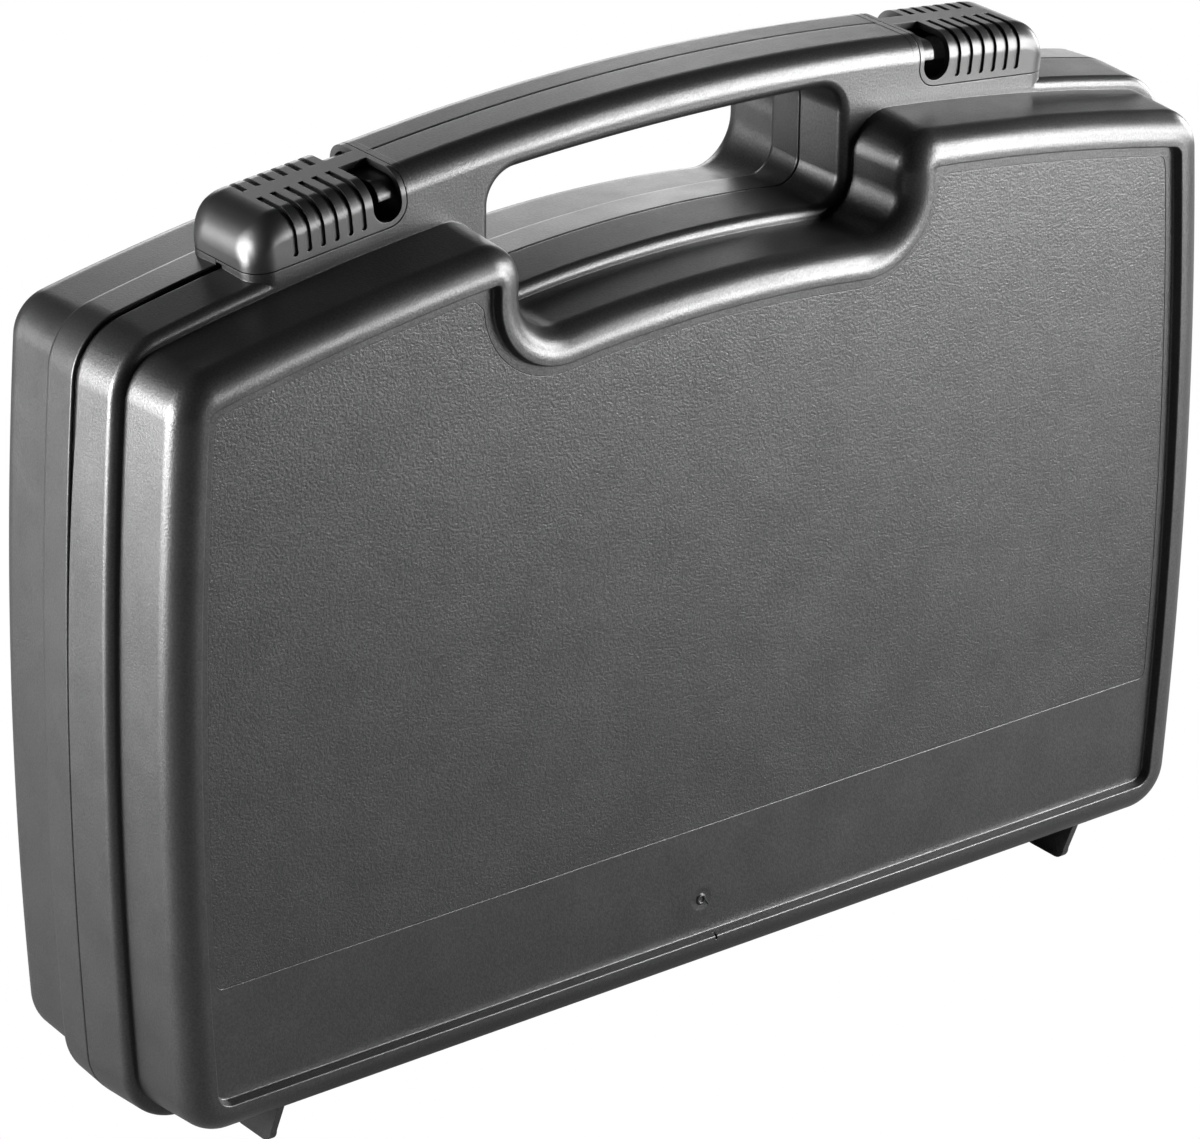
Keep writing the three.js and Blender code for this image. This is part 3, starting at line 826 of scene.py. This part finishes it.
def shell(side):
    """The lid, side -1, or the base, side 1: joined from its forms, then hollowed."""
    rim = FRONT_RIM if side < 0 else REAR_RIM
    foot_x = FRONT_FOOT_X if side < 0 else REAR_FOOT_X
    hole_profile = [[-SEAM_ROUND, -OVERRUN]]
    hole_profile += [[-inset, y] for inset, y in rim_profile(rim)]
    hole_profile += [[-RIM_EDGE_RADIUS - RIM_DRAFT, rim + OVERRUN]]
    body = joined(
        profile_loft(rim_outline, rim_profile(rim), side),
        handle_block(rim, side),
        latch_strip(rim, side, -1),
        latch_strip(rim, side, 1),
        *hinge_knuckles(side),
        foot(-foot_x, side),
        foot(foot_x, side),
    )
    body = cut(
        body, profile_loft(hole_outline, hole_profile, side), *handle_pockets(rim, side)
    )
    body = joined(body, profile_loft(dip_outline, body_profile(rim), side))
    if side < 0:
        tongue = [[TONGUE_INSET, -TONGUE_HEIGHT], [TONGUE_INSET, WALL]]
        body = joined(body, profile_loft(dip_outline, tongue, side))
    else:
        inset = TONGUE_INSET - TONGUE_CLEARANCE
        rebate = [[inset, -OVERRUN], [inset, TONGUE_HEIGHT + TONGUE_CLEARANCE]]
        body = cut(body, profile_loft(dip_outline, rebate, side))
    span = HINGE_HALF + OVERRUN / 2
    bores = [
        cylinder_x(c - span, c + span, PIN_RADIUS + PIN_CLEARANCE)
        for c in (-HINGE_CENTRE, HINGE_CENTRE)
    ]
    body = cut(body, profile_loft(dip_outline, cavity_profile(rim), side), *bores)
    if side < 0:
        field_place = field_form(0, -FIELD_SUNK, FIELD_SUNK)
        body = cut(body, gate_dimple(), nick(), open_seam(), field_place)
        body = joined(body, gate_crater())
    return body


# Foam


def rounded_slot(width, height, radius, x, z):
    """Outline with round corners; x is its middle, z its lower edge."""
    x0, x1, z0, z1 = x - width / 2, x + width / 2, z, z + height
    corners = [
        (x1 - radius, z0 + radius, -QUARTER),
        (x1 - radius, z1 - radius, 0),
        (x0 + radius, z1 - radius, QUARTER),
        (x0 + radius, z0 + radius, 2 * QUARTER),
    ]
    return [
        (cx + radius * math.cos(start + a), cz + radius * math.sin(start + a))
        for cx, cz, start in corners
        for a in quarter_turn(POCKET_CORNER_STEPS)
    ]


foam_inset = INNER_FLANK + FOAM_CLEARANCE
foam_brim = [
    [foam_inset + FOAM_EDGE, FOAM_CLEARANCE],
    [foam_inset, FOAM_CLEARANCE + FOAM_EDGE],
]


def tray_outlines():
    """Receiver and accessory pocket in one row, and the microphone slots below them."""
    half_width = CASE_WIDTH / 2 - foam_inset
    reach = half_width - POCKET_MARGIN
    split = -reach + RECEIVER_SHARE * (2 * reach - POCKET_GAP)
    bottom = HOLE_FLOOR - foam_inset - POCKET_TOP_MARGIN - POCKET_HEIGHT
    outlines = [
        rounded_slot(x1 - x0, POCKET_HEIGHT, POCKET_CORNER, (x0 + x1) / 2, bottom)
        for x0, x1 in ((-reach, split), (split + POCKET_GAP, reach))
    ]
    slot_end = half_width - SLOT_MARGIN
    head_x = slot_end - SLOT_HEAD_RADIUS
    for row in range(SLOT_ROWS):
        height = foam_inset + (row + 0.5) * (bottom - foam_inset) / SLOT_ROWS
        low = height - SLOT_WIDTH / 2
        outlines.append(rounded_slot(2 * slot_end, SLOT_WIDTH, POCKET_CORNER, 0, low))
        outlines.append(circle(head_x, height, SLOT_HEAD_RADIUS, SLOT_HEAD_STEPS))
    return outlines


def base_foam():
    seat = INNER_FLOOR - 2 * FOAM_CLEARANCE - PAD_THICKNESS
    tray = profile_loft(dip_outline, [*foam_brim, [foam_inset, seat]], 1)
    return cut(tray, *[prism_y(points, -OVERRUN, DEPTH) for points in tray_outlines()])


def base_pad():
    inset = INNER_FLANK + INNER_EDGE_RADIUS + FOAM_CLEARANCE
    far = INNER_FLOOR - FOAM_CLEARANCE
    return profile_loft(dip_outline, [[inset, far - PAD_THICKNESS], [inset, far]], 1)


def lid_foam():
    far = INNER_FLOOR - FOAM_CLEARANCE
    back = [[foam_inset, far - INNER_EDGE_RADIUS], [foam_inset + INNER_EDGE_RADIUS, far]]
    return profile_loft(dip_outline, [*foam_brim, *back], -1)


# Grained field: a plate that lies in a shallow cut of the lid's panel


def clear_of(points, others, distance):
    """The points that keep the distance from all the others."""
    least = distance - FIELD_TOLERANCE
    return [p for p in points if all(math.dist(p[:2], q[:2]) > least for q in others)]


def field_core():
    """The field's outline, smaller by the radius of its corners, as (x, z)."""
    inset = FIELD_INSET + FIELD_CORNER
    moved = [(x - inset * nx, z - inset * nz) for x, z, nx, nz in dip_outline]
    points = clear_of(moved, dip_outline, inset)
    low = FIELD_BOTTOM + FIELD_CORNER
    core = []
    for (x0, z0), (x1, z1) in zip(points, points[1:] + points[:1]):
        if z0 >= low:
            core.append((x0, z0))
        if (z0 >= low) != (z1 >= low):
            share = (low - z0) / (z1 - z0)
            core.append((x0 + share * (x1 - x0), low))
    return core


def field_outline():
    """The core moved out by the corner radius, with a round at each outer corner."""
    core = field_core()
    count = len(core)
    outline = []
    for i, (x, z) in enumerate(core):
        (xa, za), (xb, zb) = core[i - 1], core[(i + 1) % count]
        start = math.atan2(-(x - xa), z - za)
        end = math.atan2(-(xb - x), zb - z)
        turn = (end - start + math.pi) % (2 * math.pi) - math.pi
        steps = round(turn / FIELD_TURN_STEP)
        angles = [start + turn / 2]
        if steps > 0:
            angles = [start + turn * k / steps for k in range(steps + 1)]
        for a in angles:
            nx, nz = math.cos(a), math.sin(a)
            outline.append((x + FIELD_CORNER * nx, z + FIELD_CORNER * nz, nx, nz))
    return clear_of(outline, core, FIELD_CORNER)


def field_form(inset, low, high):
    """The field as a solid from low to high, measured outwards from the panel."""
    profile = [[inset, PANEL_FACE + low], [inset, PANEL_FACE + high]]
    return profile_loft(field_outline(), profile, -1)


def grained_field():
    return field_form(FIELD_FIT, -2 * FIELD_SUNK, FIELD_FIT - FIELD_SUNK)


# Gate mark, nick and open seam, cut into or added to the lid


def gate_loft(rows):
    """Round form on the gate's axis through (radius, depth) rows."""
    return loft(
        [
            [(x, -depth, z) for x, z in circle(GATE_X, GATE_HEIGHT, radius, ROUND_STEPS)]
            for radius, depth in rows
        ]
    )


def gate_dimple():
    rows = [(GATE_DIMPLE_RADIUS * GATE_BRIM_SHARE, PANEL_FACE + GATE_DIMPLE_DEPTH)]
    for i in range(DIMPLE_STEPS):
        share = 1 - i / DIMPLE_STEPS
        depth = PANEL_FACE - GATE_DIMPLE_DEPTH * (1 - share**2)
        rows.append((GATE_DIMPLE_RADIUS * share, depth))
    return gate_loft(rows)


def gate_crater():
    face = PANEL_FACE - GATE_DIMPLE_DEPTH
    crater = gate_loft([(radius, face + rise) for radius, rise in CRATER_PROFILE])
    flash = [(GATE_X + x, GATE_HEIGHT + z) for x, z in FLASH_OUTLINE]
    return joined(crater, prism_y(flash, -face - FLASH_RISE, -face + FLASH_ROOT))


def nick():
    half = NICK_WIDTH / 2
    top, bottom = LIP_INSET + NICK_ABOVE, LIP_INSET - NICK_BELOW
    near = DEPTH - PANEL_RECESS / 2
    far = DEPTH + SMALL_OVERRUN
    return box(NICK_X - half, NICK_X + half, -far, -near, bottom, top)


def open_seam():
    """Slot along the lid's rim, from the left latch over the corner and down the side."""
    end_x = -HANDLE_END - LATCH_LENGTH + STRIP_END_RADIUS
    path = [p for p in rim_outline if p[0] < end_x and p[1] > OPEN_SEAM_LOW]
    rings = []
    for x, z, nx, nz in path:
        rise = (z - OPEN_SEAM_LOW) / (OPEN_SEAM_HIGH - OPEN_SEAM_LOW)
        gap = SEAM_GAP / 2 + OPEN_SEAM_GAP * min(1, rise) ** OPEN_SEAM_EASE
        brim = gap + OPEN_SEAM_BEVEL
        section = [(-SMALL_OVERRUN, 0), (OPEN_SEAM_DEPTH, 0), (OPEN_SEAM_DEPTH, gap)]
        section += [(OPEN_SEAM_BEVEL, gap), (0, brim), (-SMALL_OVERRUN, brim)]
        rings.append([(x - inset * nx, -y, z - inset * nz) for inset, y in section])
    return loft(rings)


# Materials, in metres

TONE_SCALE = 14
TONE_DETAIL = 4
TONE_SWING = 0.07
BLUE_SHARE = 1.02
RUB_SCALE = 60
RUB_DETAIL = 6
RUB_COARSENESS = 0.65
RUB_SMOOTHER = 0.03
RUB_ROUGHER = 0.04
FLECK_DETAIL = 1
GRAIN_DETAIL = 2
GRAIN_COARSENESS = 0.6
NOISE_LOW = 0.3
NOISE_HIGH = 0.7
GLOSS = 0.7
FOAM_GLOSS = 0.2
BEVEL_SAMPLES = 6


def new_material(name):
    material = bpy.data.materials.new(name)
    material.use_nodes = True
    return material


def shader_of(material):
    return material.node_tree.nodes["Principled BSDF"]


def moulded(name, shade, roughness, grain_size, grain_depth, fleck=0, edge=0.00035):
    """Moulded surface: fine grain, glossier flecks, slow changes of tone, faint rubbing."""
    material = new_material(name)
    nodes, links = material.node_tree.nodes, material.node_tree.links
    shader = shader_of(material)
    place = nodes.new("ShaderNodeTexCoord").outputs["Object"]

    def noise(scale, detail, coarseness=0.5):
        pattern = nodes.new("ShaderNodeTexNoise")
        pattern.inputs["Scale"].default_value = scale
        pattern.inputs["Detail"].default_value = detail
        pattern.inputs["Roughness"].default_value = coarseness
        links.new(place, pattern.inputs["Vector"])
        return pattern.outputs["Fac"]

    def spread(value, low, high):
        """Stretches the usual range of a noise to low and high."""
        mapped = nodes.new("ShaderNodeMapRange")
        mapped.inputs["From Min"].default_value = NOISE_LOW
        mapped.inputs["From Max"].default_value = NOISE_HIGH
        mapped.inputs["To Min"].default_value = low
        mapped.inputs["To Max"].default_value = high
        links.new(value, mapped.inputs["Value"])
        return mapped.outputs["Result"]

    tone = spread(noise(TONE_SCALE, TONE_DETAIL), 1 - TONE_SWING, 1 + TONE_SWING)
    colour = nodes.new("ShaderNodeMix")
    colour.data_type = "RGBA"
    colour.blend_type = "MULTIPLY"
    colour.inputs["Factor"].default_value = 1
    colour.inputs["A"].default_value = (shade, shade, shade * BLUE_SHARE, 1)
    links.new(tone, colour.inputs["B"])
    links.new(colour.outputs["Result"], shader.inputs["Base Color"])

    rub = noise(RUB_SCALE, RUB_DETAIL, RUB_COARSENESS)
    rubbed = spread(rub, roughness - RUB_SMOOTHER, roughness + RUB_ROUGHER)
    links.new(rubbed, shader.inputs["Roughness"])
    shader.inputs["Specular IOR Level"].default_value = GLOSS
    if fleck:
        flecks = noise(1 / grain_size, FLECK_DETAIL)
        flecked = spread(flecks, GLOSS * (1 - fleck), GLOSS * (1 + fleck))
        links.new(flecked, shader.inputs["Specular IOR Level"])

    bump = nodes.new("ShaderNodeBump")
    bump.inputs["Strength"].default_value = 1
    bump.inputs["Distance"].default_value = grain_depth
    grain = noise(1 / grain_size, GRAIN_DETAIL, GRAIN_COARSENESS)
    links.new(grain, bump.inputs["Height"])
    if edge:
        rounding = nodes.new("ShaderNodeBevel")
        rounding.samples = BEVEL_SAMPLES
        rounding.inputs["Radius"].default_value = edge
        links.new(rounding.outputs["Normal"], bump.inputs["Normal"])
    links.new(bump.outputs["Normal"], shader.inputs["Normal"])
    return material


def foam_material(name):
    material = moulded(
        name, shade=0.035, roughness=0.9, grain_size=0.0011, grain_depth=0.0005, edge=0
    )
    shader_of(material).inputs["Specular IOR Level"].default_value = FOAM_GLOSS
    return material


def steel_material(name):
    material = moulded(
        name, shade=0.55, roughness=0.32, grain_size=0.0006, grain_depth=0.00001, edge=0.0001
    )
    shader_of(material).inputs["Metallic"].default_value = 1
    return material


shell_plastic = moulded(
    "shell_plastic",
    shade=0.012,
    roughness=0.34,
    grain_size=0.0007,
    grain_depth=0.00006,
    fleck=0.2,
)
field_plastic = moulded(
    "field_plastic",
    shade=0.012,
    roughness=0.33,
    grain_size=0.0007,
    grain_depth=0.00014,
    fleck=0.2,
)
latch_plastic = moulded(
    "latch_plastic",
    shade=0.011,
    roughness=0.36,
    grain_size=0.0008,
    grain_depth=0.00001,
    fleck=0.04,
    edge=0.0002,
)
pin_steel = steel_material("pin_steel")
foam_cells = foam_material("foam_cells")


# Pieces


MILLIMETRE = 0.001
SHARP_DEGREES = 28


def to_frame(mesh):
    """Moves a mesh from the case's millimetres to metres with the feet on the floor."""
    mesh.transform(Matrix.Scale(MILLIMETRE, 4) @ Matrix.Translation((0, 0, FOOT_DROP)))


def piece(name, mesh, body, material, replaced=()):
    to_frame(mesh)
    mesh.materials.clear()
    mesh.materials.append(material)
    mesh.polygons.foreach_set("use_smooth", [True] * len(mesh.polygons))
    mesh.set_sharp_from_angle(angle=math.radians(SHARP_DEGREES))
    o = bpy.data.objects.new(name, mesh)
    mesh.name = name
    bpy.context.scene.collection.objects.link(o)
    weigh = o.modifiers.new("weighted_normals", "WEIGHTED_NORMAL")
    weigh.keep_sharp = True
    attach(o, body)
    if replaced:
        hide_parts(*replaced)
    return o


piece("front_shell_looks", shell(-1), "lid", shell_plastic, ["front_shell"])
piece("rear_shell_looks", shell(1), "base", shell_plastic, ["rear_shell"])
piece("panel_field", grained_field(), "lid", field_plastic)
for side_name, hand in (("left", -1), ("right", 1)):
    name = f"latch_{side_name}"
    piece(name + "_looks", latch(hand), name, latch_plastic, [name])
    centre = hand * HINGE_CENTRE
    pin = cylinder_x(centre - HINGE_HALF, centre + HINGE_HALF, PIN_RADIUS, PIN_END_ROUND)
    pin_name = f"hinge_pin_{side_name}"
    piece(pin_name + "_looks", pin, "base", pin_steel, [pin_name])
for name, mesh, body in (
    ("base_foam", base_foam(), "base"),
    ("base_pad", base_pad(), "base"),
    ("lid_foam", lid_foam(), "lid"),
):
    foam = piece(name + "_looks", mesh, body, foam_cells, [name])


# Studio, in metres and watts: pale floor, soft lights, white surroundings

FLOOR_HALF = 6
FLOOR_SHADE = 0.25
FLOOR_ROUGHNESS = 0.9
FLOOR_GLOSS = 0.1
SKY_LEVEL = 0.02
CASE_MIDDLE = Vector((0, 0, 0.17))


def split_for_camera(nodes, links, lit, seen, output):
    """The camera sees the second shader, and light and reflections meet the first."""
    path = nodes.new("ShaderNodeLightPath")
    mix = nodes.new("ShaderNodeMixShader")
    links.new(path.outputs["Is Camera Ray"], mix.inputs["Fac"])
    links.new(lit, mix.inputs[1])
    links.new(seen, mix.inputs[2])
    links.new(mix.outputs["Shader"], nodes[output].inputs["Surface"])


def floor():
    half = FLOOR_HALF
    corners = [(-half, -half, 0), (half, -half, 0), (half, half, 0), (-half, half, 0)]
    mesh = bpy.data.meshes.new("studio_floor")
    mesh.from_pydata(corners, [], [(0, 1, 2, 3)])
    o = bpy.data.objects.new("studio_floor", mesh)
    bpy.context.scene.collection.objects.link(o)
    material = new_material("studio_floor")
    nodes, links = material.node_tree.nodes, material.node_tree.links
    shader = shader_of(material)
    shader.inputs["Base Color"].default_value = (FLOOR_SHADE, FLOOR_SHADE, FLOOR_SHADE, 1)
    shader.inputs["Roughness"].default_value = FLOOR_ROUGHNESS
    shader.inputs["Specular IOR Level"].default_value = FLOOR_GLOSS
    seen = nodes.new("ShaderNodeEmission")
    seen.inputs["Color"].default_value = (1, 1, 1, 1)
    seen.inputs["Strength"].default_value = 1
    split_for_camera(
        nodes, links, shader.outputs["BSDF"], seen.outputs["Emission"], "Material Output"
    )
    mesh.materials.append(material)


def surroundings():
    world = bpy.data.worlds.new("studio")
    bpy.context.scene.world = world
    world.use_nodes = True
    nodes, links = world.node_tree.nodes, world.node_tree.links
    lit = nodes["Background"]
    lit.inputs["Color"].default_value = (1, 1, 1, 1)
    lit.inputs["Strength"].default_value = SKY_LEVEL
    seen = nodes.new("ShaderNodeBackground")
    seen.inputs["Color"].default_value = (1, 1, 1, 1)
    seen.inputs["Strength"].default_value = 1
    split_for_camera(
        nodes, links, lit.outputs["Background"], seen.outputs["Background"], "World Output"
    )


def soft_light(name, place, width, power):
    """Square lamp that faces the middle of the case."""
    data = bpy.data.lights.new(name, "AREA")
    data.shape = "SQUARE"
    data.size = width
    data.energy = power
    o = bpy.data.objects.new(name, data)
    o.location = place
    o.rotation_mode = "QUATERNION"
    o.rotation_quaternion = (CASE_MIDDLE - Vector(place)).to_track_quat("-Z", "Y")
    bpy.context.scene.collection.objects.link(o)


floor()
surroundings()
soft_light("light_left", (-1.0, 0.3, 0.2), 0.5, 32)
soft_light("light_left_far", (-1.3, 1.0, 0.2), 0.6, 6)
soft_light("light_left_top", (-1.0, 0.5, 0.6), 0.5, 4.5)
soft_light("light_front", (0.9, -1.0, 0.12), 0.4, 12.5)
soft_light("light_front_far", (0.9, -1.3, 0.3), 0.5, 16.5)
soft_light("light_front_right", (0.8, -0.3, 0.35), 0.3, 4)
soft_light("light_front_top", (0.55, -0.5, 0.5), 0.3, 6.8)
soft_light("light_right", (0.9, 0.1, 0.3), 0.3, 4)
soft_light("light_back_right", (1.2, 1.2, 0.25), 0.5, 2)
soft_light("light_back_high", (1.0, 1.15, 0.8), 0.4, 0.6)
soft_light("light_back", (1.15, 2.0, 0.64), 0.9, 6.5)
soft_light("light_back_top", (0.5, 1.3, 0.6), 0.5, 1.8)


# Camera, in metres and degrees, solved from the case's outlines in the photo

FOCAL_PIXELS = 6173.73
PHOTO_WIDTH = 1200
SENSOR = 36
FAR_CLIP = 50
CAMERA_PLACE = Vector((-1.13067, -1.44427, 0.97159))
YAW = math.radians(37.82)
PITCH = math.radians(-24.37)
ROLL = math.radians(0.74)

camera_data = bpy.data.cameras.new("camera")
camera_data.sensor_fit = "HORIZONTAL"
camera_data.sensor_width = SENSOR
camera_data.lens = FOCAL_PIXELS * SENSOR / PHOTO_WIDTH
camera_data.clip_end = FAR_CLIP
camera = bpy.data.objects.new("camera", camera_data)
bpy.context.scene.collection.objects.link(camera)
bpy.context.scene.camera = camera
level = math.cos(PITCH)
forward = Vector((math.sin(YAW) * level, math.cos(YAW) * level, math.sin(PITCH)))
level_right = forward.cross(Vector((0, 0, 1))).normalized()
level_up = level_right.cross(forward)
right = level_right * math.cos(ROLL) + level_up * math.sin(ROLL)
up = level_up * math.cos(ROLL) - level_right * math.sin(ROLL)
camera.rotation_mode = "QUATERNION"
camera.rotation_quaternion = Matrix((right, up, -forward)).transposed().to_quaternion()
camera.location = CAMERA_PLACE

bpy.context.scene.view_settings.view_transform = "Standard"
